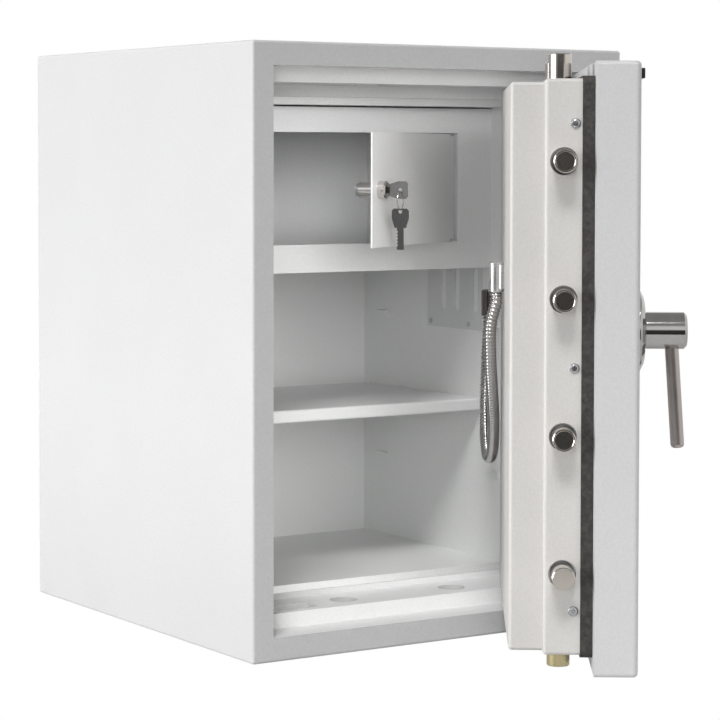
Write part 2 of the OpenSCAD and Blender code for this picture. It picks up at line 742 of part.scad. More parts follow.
module handle_spindle() color("silver") on_door()
    along_y(handle_x, handle_z, hub_n1 + 10, 66, spindle_r);

module drive_disc() color("silver") on_door() difference() {
    union() {
        along_y(handle_x, handle_z, 56, 62, 28);
        for (a = [0:90:270]) translate([handle_x, 0, handle_z]) rotate([0, a + 45, 0])
            along_y(20, 0, 56, 66, 4, small_fn);
    }
    along_y(handle_x, handle_z, 50, 70, spindle_r);
}

// A locking bolt from its tip at the origin up +Z, with a shallow dish in its end.
module bolt(length, dish = 0) rotate_extrude($fn = round_fn)
    polygon([[0, dish], [bolt_d / 2 - bolt_rim, dish], [bolt_d / 2 - bolt_rim + dish, 0],
        [bolt_d / 2 - 1, 0], [bolt_d / 2, 1], [bolt_d / 2, length], [0, length]]);

module side_bolts() color("silver") on_door() for (i = [0:3])
    translate([bolt_tip_x, side_bolt_n, bolt_z0 + i * bolt_pitch]) rotate([0, 90, 0])
        bolt(bar_x0 - bolt_tip_x, i == 0 ? 0 : bolt_dish);

module side_bar() color("silver") on_door()
    block([bar_x0, side_bolt_n - side_bar_h / 2, side_bar_z0],
        [bar_x0 + bar_t, side_bolt_n + side_bar_h / 2, side_bar_z1]);

module top_bolts() color("silver") on_door() for (i = [0, 1])
    translate([top_bolt_x[i], top_bolt_n, top_bolt_end[i]]) rotate([180, 0, 0])
        bolt(top_bolt_end[i] - top_bar_z - bar_t);

module top_bar() color("silver") on_door()
    block([top_bolt_x[0] - 10, top_bolt_n - 10, top_bar_z],
        [top_bolt_x[1] + 10, top_bolt_n + 10, top_bar_z + bar_t]);

module bottom_bolt() color("gold") on_door()
    translate([top_bolt_x[0], low_bolt_n, low_bolt_end]) bolt(low_bar_z - low_bolt_end);

module bottom_bar() color("silver") on_door()
    block([top_bolt_x[0] - 10, low_bolt_n - 10, low_bar_z],
        [top_bolt_x[0] + 60, low_bolt_n + 10, low_bar_z + bar_t]);

// The fitting in the right wall: a stub, and an upright sleeve that the conduit enters.
elbow_x = room_x1 - 13.5;
elbow_y = throat_end + 20;
elbow_z = [locker_z - 62, locker_z - 27];
elbow_r = 9.5;
stub_z = locker_z - 42;
module wall_elbow() color("gray") from_corner() difference() {
    union() {
        translate([elbow_x, elbow_y, elbow_z[0]]) rotate_extrude($fn = round_fn)
            polygon([[0, 0], [elbow_r - 1, 0], [elbow_r, 1],
                [elbow_r, elbow_z[1] - elbow_z[0] - 3],
                [elbow_r - 2.5, elbow_z[1] - elbow_z[0] - 0.8],
                [0, elbow_z[1] - elbow_z[0]]]);
        along_x(elbow_y, stub_z, elbow_x, room_x1, elbow_r - 1, 32);
        along_x(elbow_y, stub_z, room_x1 - 2, room_x1, elbow_r + 3, 32);
    }
    along_z(elbow_x, elbow_y, elbow_z[0] - over, elbow_z[0] + hose_grip + 2,
        conduit_d / 2 + bore_gap, 32);
}

// The conduit hangs in a bow between the door's sleeve and the wall's.
function turned(p) = [
    hinge_x + (p[0] - hinge_x) * cos(door_open) - (p[1] - hinge_y) * sin(door_open),
    hinge_y + (p[0] - hinge_x) * sin(door_open) + (p[1] - hinge_y) * cos(door_open)];
door_seat = turned([ferrule_x, ferrule_n]);
door_end = ferrule_z[0] + hose_grip;
wall_end = elbow_z[0] + hose_grip;
route = [[door_seat[0], door_seat[1], door_end],
    [door_seat[0], door_seat[1], door_end - 9], [door_seat[0], door_seat[1], door_end - 18],
    [288, -67, 387], [298, -53, 349], [315, -33, 310], [338, -5, 269], [363, 30, 231],
    [382, 61, 211], [402, 95, 210], [417, 120, 232], [430, 139, 271], [443, 154, 325],
    [elbow_x, elbow_y, wall_end - 18], [elbow_x, elbow_y, wall_end - 9],
    [elbow_x, elbow_y, wall_end]];

function spline(a, b, c, d, t) = 0.5 * ((2 * b) + (c - a) * t
    + (2 * a - 5 * b + 4 * c - d) * t * t + (3 * b - a - 3 * c + d) * t * t * t);
steps = 16;
last = len(route) - 1;
fine = [for (i = [0:last - 1], k = [0:steps - 1]) spline(route[max(i - 1, 0)], route[i],
    route[i + 1], route[min(i + 2, last)], k / steps), route[last]];
function running(i, s) = i >= len(fine) - 1 ? [s]
    : concat([s], running(i + 1, s + norm(fine[i + 1] - fine[i])));
marks = running(0, 0);
conduit_len = marks[len(marks) - 1];
function at(s, i) = i >= len(marks) - 2 || marks[i + 1] >= s
    ? fine[i] + (fine[i + 1] - fine[i]) * (s - marks[i]) / (marks[i + 1] - marks[i])
    : at(s, i + 1);
ribs = floor(conduit_len / rib_pitch);
rings = 2 * ribs;
step = conduit_len / rings;
centre = [for (i = [0:rings]) at(i * step, 0)];
function tangent(i) = let (v = centre[min(i + 1, rings)] - centre[max(i - 1, 0)])
    v / norm(v);
function carry(i, u) = let (t = tangent(i), w = u - t * (u * t)) w / norm(w);
function frames(i, u) = i > rings ? [] : let (w = carry(i, u)) concat([w],
    frames(i + 1, w));
side = frames(0, [1, 0, 0]);
hose_fn = 8;
function ring_at(i, r) = [for (k = [0:hose_fn - 1]) let (a = 360 * k / hose_fn,
    t = tangent(i)) centre[i] + r * (cos(a) * side[i] + sin(a) * cross(t, side[i]))];
function outer_r(i) = i % 2 == 0 ? conduit_d / 2 - 1 : conduit_d / 2;
hose_points = concat(
    [for (i = [0:rings]) each ring_at(i, outer_r(i))],
    [for (i = [0:rings]) each ring_at(i, conduit_d / 2 - conduit_wall)]);
inner_at = (rings + 1) * hose_fn;
hose_faces = concat(
    [for (i = [0:rings - 1], k = [0:hose_fn - 1]) let (a = i * hose_fn + k,
        b = i * hose_fn + (k + 1) % hose_fn) each [[a, b, b + hose_fn],
        [a, b + hose_fn, a + hose_fn]]],
    [for (i = [0:rings - 1], k = [0:hose_fn - 1]) let (a = inner_at + i * hose_fn + k,
        b = inner_at + i * hose_fn + (k + 1) % hose_fn) each [[a, b + hose_fn, b],
        [a, a + hose_fn, b + hose_fn]]],
    [for (k = [0:hose_fn - 1]) let (j = (k + 1) % hose_fn) each [
        [k, inner_at + k, inner_at + j], [k, inner_at + j, j]]],
    [for (k = [0:hose_fn - 1]) let (e = rings * hose_fn, j = (k + 1) % hose_fn) each [
        [e + k, inner_at + e + j, inner_at + e + k], [e + k, e + j, inner_at + e + j]]]);
apart = ceil(3 * conduit_d / step);
self_gap = min([for (i = [0:4:rings - apart], j = [i + apart:4:rings])
    norm(centre[i] - centre[j])]) - conduit_d;
echo(conduit_length = conduit_len, ribs = ribs, self_gap = self_gap);  // conduit_hose

module conduit_hose() color("silver") from_corner() polyhedron(hose_points, hose_faces);

outer_casing();
base_plate();
fire_fill();
door_frame();
frame_ledge();
anchor_sleeves();
inner_liner();
side_cover_plate();
cover_plate_screws();
shelf_clips();
upper_shelf();
locker_box();
locker_front();
locker_pins();
locker_leaf();
cam_lock_body();
cam_plug();
cam_arm();
locker_key();
key_ring();
spare_key();
body_knuckles();
hinge_pins();
wall_elbow();
door_knuckles();
door_skin();
door_fill();
door_back_plate();
door_seal();
bolt_case();
bolt_guides();
case_screws();
inner_cover();
door_ferrule();
front_plate();
lock_escutcheon();
escutcheon_cover();
lock_case();
lock_bolt();
handle_rosette();
handle_hub();
handle_lever();
handle_spindle();
drive_disc();
side_bolts();
side_bar();
top_bolts();
top_bar();
bottom_bolt();
bottom_bar();
conduit_hose();
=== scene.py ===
"""Fireproof safe with its door open: finishes, the ribbed conduit, light and camera."""
import logging
import math
from dataclasses import dataclass
from enum import Enum
from typing import Iterable, Protocol, Sequence

import bmesh
import bpy
from mathutils import Matrix, Vector


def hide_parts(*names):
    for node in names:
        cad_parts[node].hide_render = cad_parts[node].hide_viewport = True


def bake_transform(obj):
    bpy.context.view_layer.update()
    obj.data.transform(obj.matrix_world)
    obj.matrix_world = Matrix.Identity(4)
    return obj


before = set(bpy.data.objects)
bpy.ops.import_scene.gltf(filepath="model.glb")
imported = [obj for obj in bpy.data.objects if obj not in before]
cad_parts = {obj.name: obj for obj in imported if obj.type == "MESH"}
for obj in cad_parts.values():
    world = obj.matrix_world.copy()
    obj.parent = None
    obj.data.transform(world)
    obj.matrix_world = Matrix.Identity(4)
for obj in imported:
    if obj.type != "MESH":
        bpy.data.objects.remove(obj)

log = logging.getLogger("safe")
MM = 0.001
Colour = tuple[float, float, float]
WHITE: Colour = (1.0, 1.0, 1.0)


def srgb(code: str) -> Colour:
    """Turns a hex colour into linear values.

    Args:
        code: six hex digits.

    Returns:
        The linear red, green and blue.
    """
    parts = [int(code[i:i + 2], 16) / 255 for i in (0, 2, 4)]
    return tuple(p / 12.92 if p <= 0.04045 else ((p + 0.055) / 1.055) ** 2.4 for p in parts)


def scaled(colour: Colour, factor: float) -> Colour:
    """Makes a colour darker or lighter."""
    return tuple(min(1.0, c * factor) for c in colour)


def grey(level: float) -> Colour:
    """Gives the neutral colour of one level."""
    return level, level, level


class Value:
    """A shader socket that carries a number, with Python's operators."""

    def __init__(self, graph: "Graph", socket: bpy.types.NodeSocket) -> None:
        """Keeps the node tree that the socket is in, and the socket."""
        self.graph = graph
        self.socket = socket

    def _maths(self, operation: str, first: "Value | float", second: "Value | float") -> "Value":
        """Adds one Math node and gives its result."""
        node = self.graph.node("ShaderNodeMath", {"operation": operation}, {0: first, 1: second})
        return Value(self.graph, node.outputs[0])

    def __add__(self, other: "Value | float") -> "Value":
        """Adds."""
        return self._maths("ADD", self, other)

    __radd__ = __add__

    def __sub__(self, other: "Value | float") -> "Value":
        """Subtracts."""
        return self._maths("SUBTRACT", self, other)

    def __rsub__(self, other: float) -> "Value":
        """Subtracts from a number."""
        return self._maths("SUBTRACT", other, self)

    def __mul__(self, other: "Value | float") -> "Value":
        """Multiplies."""
        return self._maths("MULTIPLY", self, other)

    __rmul__ = __mul__

    def ramp(self, low: float, high: float) -> "Value":
        """Runs smoothly from 0 at low to 1 at high.

        Args:
            low: where the result is 0.
            high: where the result is 1.

        Returns:
            The smooth step.
        """
        node = self.graph.node("ShaderNodeMapRange", {"interpolation_type": "SMOOTHSTEP"},
                               {"Value": self, "From Min": low, "From Max": high})
        return Value(self.graph, node.outputs["Result"])


def mean(first: Value, second: Value) -> Value:
    """Gives the mean of two values."""
    return (first + second) * 0.5


def swayed(level: float, noise: Value, spread: float) -> Value:
    """Gives a level that a noise moves up and down within a spread."""
    return level + (noise - 0.5) * spread


class Graph:
    """A node tree that grows one node at a time."""

    def __init__(self, tree: bpy.types.NodeTree) -> None:
        """Keeps a material's or a world's tree."""
        self.tree = tree

    def node(self, kind: str, settings: dict, inputs: dict) -> bpy.types.Node:
        """Adds a node of any type.

        Args:
            kind: the node's type.
            settings: its properties, set first.
            inputs: a value or link for each socket, by name or number.

        Returns:
            The node.
        """
        node = self.tree.nodes.new(kind)
        for key, setting in settings.items():
            setattr(node, key, setting)
        for key, source in inputs.items():
            self.feed(node.inputs[key], source)
        return node

    def feed(self, socket: bpy.types.NodeSocket, source: object) -> None:
        """Links or sets one socket.

        Args:
            socket: the input.
            source: a Value, a socket, a number, a vector or a colour.
        """
        if isinstance(source, Value):
            self.tree.links.new(source.socket, socket)
        elif isinstance(source, bpy.types.NodeSocket):
            self.tree.links.new(source, socket)
        elif isinstance(source, tuple) and socket.type == "RGBA":
            socket.default_value = (*source, 1.0)
        else:
            socket.default_value = source

    def split(self, vector: bpy.types.NodeSocket) -> tuple[Value, Value, Value]:
        """Splits a vector into its three coordinates."""
        node = self.node("ShaderNodeSeparateXYZ", {}, {"Vector": vector})
        return tuple(Value(self, out) for out in node.outputs)

    def ray(self, kind: str) -> Value:
        """Gives 1 for rays of one kind, such as Is Camera Ray."""
        return Value(self, self.node("ShaderNodeLightPath", {}, {}).outputs[kind])

    def mix(self, factor: Value, first: object, second: object) -> bpy.types.NodeSocket:
        """Mixes two colours.

        Args:
            factor: 0 for the first, 1 for the second.
            first: a colour or socket.
            second: a colour or socket.

        Returns:
            The mixed colour.
        """
        # The Mix node's inputs 6 and 7 are its two colours, and its output 2 is their mix.
        node = self.node("ShaderNodeMix", {"data_type": "RGBA"}, {0: factor, 6: first, 7: second})
        return node.outputs[2]


class Shader(Graph):
    """One material's node tree, with its Principled shader."""

    def __init__(self, name: str) -> None:
        """Makes an empty node material.

        Args:
            name: the material's name.
        """
        self.material = bpy.data.materials.new(name)
        self.material.use_nodes = True
        super().__init__(self.material.node_tree)
        self.bsdf = self.tree.nodes["Principled BSDF"]

    def noise(self, scale: float, detail: float = 2.0, roughness: float = 0.5,
              stretch: Colour = (1.0, 1.0, 1.0)) -> Value:
        """Adds fractal noise in the piece's own space.

        Args:
            scale: cells per metre.
            detail: octaves.
            roughness: share of the next octave.
            stretch: factor for each axis.

        Returns:
            The noise, about 0.5.
        """
        point = self.node("ShaderNodeTexCoord", {}, {}).outputs["Object"]
        place = self.node("ShaderNodeMapping", {}, {"Vector": point, "Scale": stretch})
        node = self.node("ShaderNodeTexNoise", {}, {"Vector": place.outputs[0], "Scale": scale,
                         "Detail": detail, "Roughness": roughness})
        return Value(self, node.outputs["Fac"])

    def shades(self, tone: Value, colour: Colour, dark: float,
               light: float) -> bpy.types.NodeSocket:
        """Mixes a colour's darker and lighter shades, by a tone from 0 to 1."""
        return self.mix(tone, scaled(colour, dark), scaled(colour, light))

    def bump(self, height: Value, strength: float, distance: float) -> None:
        """Feeds the Normal socket from a height.

        Args:
            height: the height.
            strength: 0 to 1.
            distance: metres for a height of 1.
        """
        node = self.node("ShaderNodeBump", {}, {"Height": height, "Strength": strength,
                         "Distance": distance})
        self.feed(self.bsdf.inputs["Normal"], node.outputs["Normal"])

    def dress(self, **inputs: object) -> bpy.types.Material:
        """Sets the Principled shader's sockets.

        Args:
            inputs: sockets by name, with _ for a space.

        Returns:
            The finished material.
        """
        for key, source in inputs.items():
            self.feed(self.bsdf.inputs[key.replace("_", " ")], source)
        return self.material


class Finish(Protocol):
    """What every finish has: a name, and a method that makes its material.

    In the finishes below, a scale is a noise's cells per metre, a range is the part of the noise
    that the tone runs through, and DARK and LIGHT are the factors of the colour's two shades.
    """

    name: str

    def build(self) -> bpy.types.Material:
        """Makes the material."""


@dataclass(frozen=True)
class PowderCoat:
    """Textured powder coat on sheet steel: fine grain, orange peel and faint clouding."""

    name: str
    colour: Colour
    grain_scale: float = 900.0
    bump_strength: float = 0.72
    roughness: float = 0.5

    PEEL_TO_GRAIN = 0.45
    CLOUD_SCALE = 9.0
    GRAIN_RANGE, GRAIN_SHARE = (0.30, 0.70), 0.40
    PEEL_RANGE, PEEL_SHARE = (0.35, 0.65), 0.45
    CLOUD_RANGE, CLOUD_SHARE = (0.30, 0.70), 0.15
    DARK, LIGHT = 0.94, 1.05
    ROUGHNESS_SPREAD = 0.10

    def build(self) -> bpy.types.Material:
        """Makes the material.

        Returns:
            The material.
        """
        shader = Shader(self.name)
        grain = shader.noise(self.grain_scale, detail=3.0, roughness=0.6)
        peel = shader.noise(self.grain_scale * self.PEEL_TO_GRAIN)
        cloud = shader.noise(self.CLOUD_SCALE, detail=3.0)
        tone = (grain.ramp(*self.GRAIN_RANGE) * self.GRAIN_SHARE
                + peel.ramp(*self.PEEL_RANGE) * self.PEEL_SHARE
                + cloud.ramp(*self.CLOUD_RANGE) * self.CLOUD_SHARE)
        shader.bump(mean(grain, peel), strength=self.bump_strength, distance=0.2 * MM)
        return shader.dress(Base_Color=shader.shades(tone, self.colour, self.DARK, self.LIGHT),
                            Roughness=swayed(self.roughness, grain, self.ROUGHNESS_SPREAD),
                            IOR=1.5)


@dataclass(frozen=True)
class SmoothCoat(PowderCoat):
    """Finer and flatter powder coat, as on the doorway, the liner and the locker."""

    grain_scale: float = 1300.0
    bump_strength: float = 0.30
    roughness: float = 0.42


class Lay(Enum):
    """The way that fine tool marks run on a metal piece, as a stretch of the noise."""

    NONE = (1.0, 1.0, 1.0)
    ROUND_Z = (1.0, 1.0, 30.0)
    ALONG_Z = (20.0, 20.0, 1.0)


@dataclass(frozen=True)
class Metal:
    """Bare or plated metal with fine tool marks and smudges."""

    name: str
    colour: Colour
    roughness: float
    mark_strength: float
    lay: Lay = Lay.NONE

    MARK_SCALE, MARK_RANGE = 300.0, (0.25, 0.75)
    SMUDGE_SCALE, SMUDGE_RANGE = 45.0, (0.30, 0.70)
    DARK, LIGHT = 0.90, 1.04
    ROUGHNESS_SPREAD = 0.4

    def build(self) -> bpy.types.Material:
        """Makes the material.

        Returns:
            The material.
        """
        shader = Shader(self.name)
        marks = shader.noise(self.MARK_SCALE, detail=4.0, roughness=0.6, stretch=self.lay.value)
        smudge = shader.noise(self.SMUDGE_SCALE, detail=3.0)
        tone = mean(marks.ramp(*self.MARK_RANGE), smudge.ramp(*self.SMUDGE_RANGE))
        shader.bump(marks, strength=self.mark_strength, distance=0.1 * MM)
        rough = swayed(self.roughness, smudge, self.roughness * self.ROUGHNESS_SPREAD)
        return shader.dress(Base_Color=shader.shades(tone, self.colour, self.DARK, self.LIGHT),
                            Metallic=1.0, Roughness=rough)


@dataclass(frozen=True)
class SealStrip:
    """Black heat-swelling strip with a faintly mottled, porous face."""

    name: str
    colour: Colour
    roughness: float = 0.65

    MOTTLE_SCALE, MOTTLE_RANGE = 160.0, (0.35, 0.70)
    PORE_SCALE = 1400.0
    DARK, LIGHT = 0.55, 1.5
    ROUGHNESS_SPREAD = 0.2

    def build(self) -> bpy.types.Material:
        """Makes the material.

        Returns:
            The material.
        """
        shader = Shader(self.name)
        mottle = shader.noise(self.MOTTLE_SCALE, detail=4.0, roughness=0.6)
        pores = shader.noise(self.PORE_SCALE)
        tone = mottle.ramp(*self.MOTTLE_RANGE)
        shader.bump(mean(pores, mottle), strength=0.35, distance=0.3 * MM)
        return shader.dress(Base_Color=shader.shades(tone, self.colour, self.DARK, self.LIGHT),
                            Roughness=swayed(self.roughness, mottle, self.ROUGHNESS_SPREAD))


@dataclass(frozen=True)
class Moulding:
    """Plain moulded plastic with a fine grain."""

    name: str
    colour: Colour
    roughness: float = 0.35

    GRAIN_SCALE = 1200.0
    DARK, LIGHT = 0.9, 1.1
    ROUGHNESS_SPREAD = 0.1

    def build(self) -> bpy.types.Material:
        """Makes the material.

        Returns:
            The material.
        """
        shader = Shader(self.name)
        grain = shader.noise(self.GRAIN_SCALE)
        shader.bump(grain, strength=0.1, distance=0.1 * MM)
        return shader.dress(Base_Color=shader.shades(grain, self.colour, self.DARK, self.LIGHT),
                            Roughness=swayed(self.roughness, grain, self.ROUGHNESS_SPREAD))


@dataclass(frozen=True)
class MineralFill:
    """Poured fire-resistant filling: pale, matt and pitted, with painted shade in the pits."""

    name: str
    colour: Colour
    roughness: float = 0.9

    PIT_SCALE, PIT_RANGE = 240.0, (0.3, 0.6)
    DARK, LIGHT = 0.7, 1.0
    ROUGHNESS_SPREAD = 0.1

    def build(self) -> bpy.types.Material:
        """Makes the material.

        Returns:
            The material.
        """
        shader = Shader(self.name)
        pits = shader.noise(self.PIT_SCALE, detail=5.0, roughness=0.7)
        # Painted shade: the colour darkens in the pits, following the same noise that sinks the
        # bump's hollows.
        tone = pits.ramp(*self.PIT_RANGE)
        shader.bump(pits, strength=0.6, distance=1.0 * MM)
        return shader.dress(Base_Color=shader.shades(tone, self.colour, self.DARK, self.LIGHT),
                            Roughness=swayed(self.roughness, pits, self.ROUGHNESS_SPREAD))


@dataclass(frozen=True)
class Layout:
    """The body and its open door, in millimetres from the body's front left corner."""

    width: float = 538.0
    depth: float = 566.0
    hinge: tuple[float, float] = (526.0, -9.0)
    open_angle: float = 55.0

    def point(self, x: float, y: float, z: float) -> Vector:
        """Gives a point of the body in the frame, in metres."""
        return Vector((x - self.width / 2, y - self.depth / 2, z)) * MM

    def door_point(self, x: float, y: float, z: float) -> Vector:
        """Gives a point of the closed door, turned to where the door stands.

        Args:
            x: from the body's left side.
            y: from the body's front.
            z: height.

        Returns:
            The point in the frame, in metres.
        """
        turn = math.radians(self.open_angle)
        across, back = x - self.hinge[0], y - self.hinge[1]
        return self.point(self.hinge[0] + across * math.cos(turn) - back * math.sin(turn),
                          self.hinge[1] + across * math.sin(turn) + back * math.cos(turn), z)


def spline(points: Sequence[Vector], steps: int) -> list[Vector]:
    """Runs a smooth curve through points.

    Args:
        points: the points.
        steps: pieces between two points.

    Returns:
        The fine points.
    """
    fine: list[Vector] = []
    last = len(points) - 1
    for i in range(last):
        a, b, c, d = (points[max(i - 1, 0)], points[i], points[i + 1], points[min(i + 2, last)])
        for k in range(steps):
            t = k / steps
            fine.append(0.5 * ((2 * b) + (c - a) * t + (2 * a - 5 * b + 4 * c - d) * t * t
                               + (3 * b - a - 3 * c + d) * t ** 3))
    fine.append(points[last].copy())
    return fine


def evenly(points: Sequence[Vector], count: int) -> list[Vector]:
    """Spaces points evenly along a line of points.

    Args:
        points: the line.
        count: how many pieces.

    Returns:
        The count + 1 points.
    """
    marks = [0.0]
    for a, b in zip(points, points[1:]):
        marks.append(marks[-1] + (b - a).length)
    spaced: list[Vector] = []
    i = 0
    for k in range(count + 1):
        mark = marks[-1] * k / count
        while i < len(marks) - 2 and marks[i + 1] < mark:
            i += 1
        share = (mark - marks[i]) / (marks[i + 1] - marks[i])
        spaced.append(points[i].lerp(points[i + 1], share))
    return spaced


def mesh_object(name: str, bm: bmesh.types.BMesh, material: bpy.types.Material,
                smooth: bool = True) -> bpy.types.Object:
    """Turns a bmesh into an object with one material.

    Args:
        name: the object's name.
        bm: the mesh, which is freed.
        material: its material.
        smooth: shades it smooth.

    Returns:
        The object.
    """
    mesh = bpy.data.meshes.new(name)
    bm.normal_update()
    bm.to_mesh(mesh)
    bm.free()
    mesh.materials.append(material)
    for polygon in mesh.polygons:
        polygon.use_smooth = smooth
    piece = bpy.data.objects.new(name, mesh)
    bpy.context.scene.collection.objects.link(piece)
    return piece


@dataclass(frozen=True)
class Conduit:
    """The ribbed metal conduit between the door's ferrule and the wall elbow.

    Lengths are in millimetres. The ferrule's place is given on the closed door. The route leaves
    each end straight down, by the drops of straight, and hangs through the points between them.
    The rib profile is the height of each ring of a rib against its crest.
    """

    layout: Layout
    diameter: float = 15.0
    rib_pitch: float = 4.7
    rib_profile: tuple[float, ...] = (-2.0, -0.95, -0.22, 0.0, -0.22, -0.95)
    sides: int = 20
    curve_steps: int = 16
    ferrule: tuple[float, float] = (335.0, 146.5)
    door_end: float = 431.0
    elbow: tuple[float, float] = (451.5, 162.0)
    wall_end: float = 384.0
    straight: tuple[float, float, float] = (0.0, 9.0, 18.0)
    hanging: tuple[tuple[float, float, float], ...] = (
        (288, -67, 387), (298, -53, 349), (315, -33, 310), (338, -5, 269), (363, 30, 231),
        (382, 61, 211), (402, 95, 210), (417, 120, 232), (430, 139, 271), (443, 154, 325))
    path_pieces: int = 36
    held_pieces: int = 2

    def route(self) -> list[Vector]:
        """Gives the points that the conduit runs through.

        Returns:
            The points in the frame, in metres.
        """
        door = [self.layout.door_point(*self.ferrule, self.door_end - s) for s in self.straight]
        wall = [self.layout.point(*self.elbow, self.wall_end - s) for s in reversed(self.straight)]
        return door + [self.layout.point(*p) for p in self.hanging] + wall

    def ribbed_tube(self, centre: Sequence[Vector]) -> bmesh.types.BMesh:
        """Makes the closed ribbed tube round a line of ring centres.

        Args:
            centre: the centre of each ring.

        Returns:
            The mesh.
        """
        bm = bmesh.new()
        side = Vector((1, 0, 0))
        rings: list[list[bmesh.types.BMVert]] = []
        for i, point in enumerate(centre):
            along = (centre[min(i + 1, len(centre) - 1)] - centre[max(i - 1, 0)]).normalized()
            side = (side - along * side.dot(along)).normalized()
            other = along.cross(side)
            height = self.rib_profile[i % len(self.rib_profile)]
            radius = (self.diameter / 2 + height) * MM
            rings.append([bm.verts.new(point + radius * (math.cos(t) * side + math.sin(t) * other))
                          for t in (2 * math.pi * k / self.sides for k in range(self.sides))])
        for a, b in zip(rings, rings[1:]):
            for k in range(self.sides):
                j = (k + 1) % self.sides
                bm.faces.new((a[k], a[j], b[j], b[k]))
        bm.faces.new(list(reversed(rings[0])))
        bm.faces.new(rings[-1])
        return bm

    def build(self, material: bpy.types.Material) -> None:
        """Args:
            material: the finish.
        """
        fine = spline(self.route(), self.curve_steps)
        length = sum((b - a).length for a, b in zip(fine, fine[1:]))
        ribs = int(length / (self.rib_pitch * MM))
        centre = evenly(fine, ribs * len(self.rib_profile))
        tube = mesh_object("conduit_ribbed", self.ribbed_tube(centre), material)
        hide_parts("conduit_hose")
        path = evenly(fine, self.path_pieces)
        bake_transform(tube)
        log.info("conduit_ribbed: %.0f mm, %d ribs", length / MM, ribs)


class Finishes:
    """Every finish on the safe, each with the CAD nodes that wear it."""

    WORN_BY: tuple[tuple[Finish, tuple[str, ...]], ...] = (
        (PowderCoat("casing", srgb("C9C9CA")),
         ("outer_casing", "base_plate", "body_knuckles", "door_knuckles", "door_skin",
          "door_back_plate")),
        (SmoothCoat("frame", srgb("E9E9E9")), ("door_frame", "frame_ledge")),
        (SmoothCoat("liner", srgb("E6E7E6")),
         ("inner_liner", "shelf_clips", "locker_box", "anchor_sleeves")),
        (SmoothCoat("locker", srgb("EBEBEB")), ("locker_front", "locker_leaf", "upper_shelf")),
        (PowderCoat("case", srgb("C8C6C3")), ("bolt_case", "inner_cover")),
        (MineralFill("fill", srgb("B9B6AE")), ("fire_fill", "door_fill")),
        (SealStrip("seal", srgb("343230")), ("door_seal",)),
        (Moulding("trim", srgb("1C1A1A")), ("front_plate",)),
        (Metal("zinc", srgb("C9CBCC"), 0.30, 0.10),
         ("cover_plate_screws", "cam_arm", "locker_pins", "lock_case", "side_bar", "top_bar",
          "bottom_bar", "drive_disc", "bolt_guides")),
        (Metal("nickel", srgb("CFC8C0"), 0.13, 0.02, Lay.ROUND_Z),
         ("side_bolts", "top_bolts", "hinge_pins", "handle_spindle")),
        (Metal("sleeve", srgb("EEEEEE"), 0.26, 0.03), ("door_ferrule",)),
        (Metal("elbow", srgb("8D8683"), 0.12, 0.03), ("wall_elbow",)),
        (Metal("chrome", srgb("D9D6D4"), 0.08, 0.02),
         ("lock_escutcheon", "escutcheon_cover", "cam_lock_body", "cam_plug", "key_ring")),
        (Metal("satin", srgb("B8B1AC"), 0.30, 0.10, Lay.ALONG_Z), ("handle_lever",)),
        (Metal("hub", srgb("B8B6B4"), 0.07, 0.03), ("handle_hub", "handle_rosette")),
        (Metal("screw", srgb("BEBFC1"), 0.24, 0.10), ("case_screws",)),
        (Metal("key", srgb("A9A8A8"), 0.18, 0.05), ("locker_key",)),
        (Metal("dark_key", srgb("727171"), 0.22, 0.05), ("spare_key",)),
        (SmoothCoat("plate", srgb("D3D4D4")), ("side_cover_plate",)),
        (Metal("brass", srgb("C7BB92"), 0.20, 0.08, Lay.ROUND_Z), ("bottom_bolt", "lock_bolt")),
    )
    CONDUIT = Metal("conduit", srgb("C4C2C0"), 0.11, 0.03)

    def build(self) -> None:
        """Makes the finishes and puts them on the CAD nodes."""
        for finish, nodes in self.WORN_BY:
            material = finish.build()
            for node in nodes:
                self.put(node, material)

    @staticmethod
    def put(node: str, material: bpy.types.Material) -> None:
        """Gives a CAD node its finish.

        Args:
            node: the node's name.
            material: the finish.
        """
        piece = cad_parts[node]
        if not piece.data.materials:
            piece.data.materials.append(material)
        for slot in piece.material_slots:
            slot.material = material
        log.info("%s: %s", node, material.name)


@dataclass(frozen=True)
class Viewpoint:
    """The camera where the photograph was taken, in millimetres and degrees."""

    focal: float = 123.345
    sensor: float = 36.0
    shift: tuple[float, float] = (0.02125, -0.13153)
    eye: tuple[float, float, float] = (-1705.0, -2716.2, 587.2)
    yaw: float = 32.686
    pitch: float = 2.535
    roll: float = 0.066
    nearest: float = 50.0
    farthest: float = 60000.0

    def ahead(self) -> tuple[float, float]:
        """Gives the level direction of view."""
        return math.sin(math.radians(self.yaw)), math.cos(math.radians(self.yaw))

    def build(self) -> None:
        """Places the camera."""
        yaw, pitch, roll = (math.radians(angle) for angle in (self.yaw, self.pitch, self.roll))
        forward = Vector((math.sin(yaw) * math.cos(pitch), math.cos(yaw) * math.cos(pitch),
                          -math.sin(pitch)))
        level = Vector((math.cos(yaw), -math.sin(yaw), 0))
        up = level.cross(forward)
        right = math.cos(roll) * level + math.sin(roll) * up
        top = math.cos(roll) * up - math.sin(roll) * level
        data = bpy.data.cameras.new("camera")
        data.lens = self.focal
        data.sensor_width = self.sensor
        data.shift_x, data.shift_y = self.shift
        data.clip_start = self.nearest * MM
        data.clip_end = self.farthest * MM
        camera = bpy.data.objects.new("camera", data)
        bpy.context.scene.collection.objects.link(camera)
        stand = Matrix((right, top, -forward)).transposed().to_4x4()
        stand.translation = Vector(self.eye) * MM
        camera.matrix_world = stand
        bpy.context.scene.camera = camera


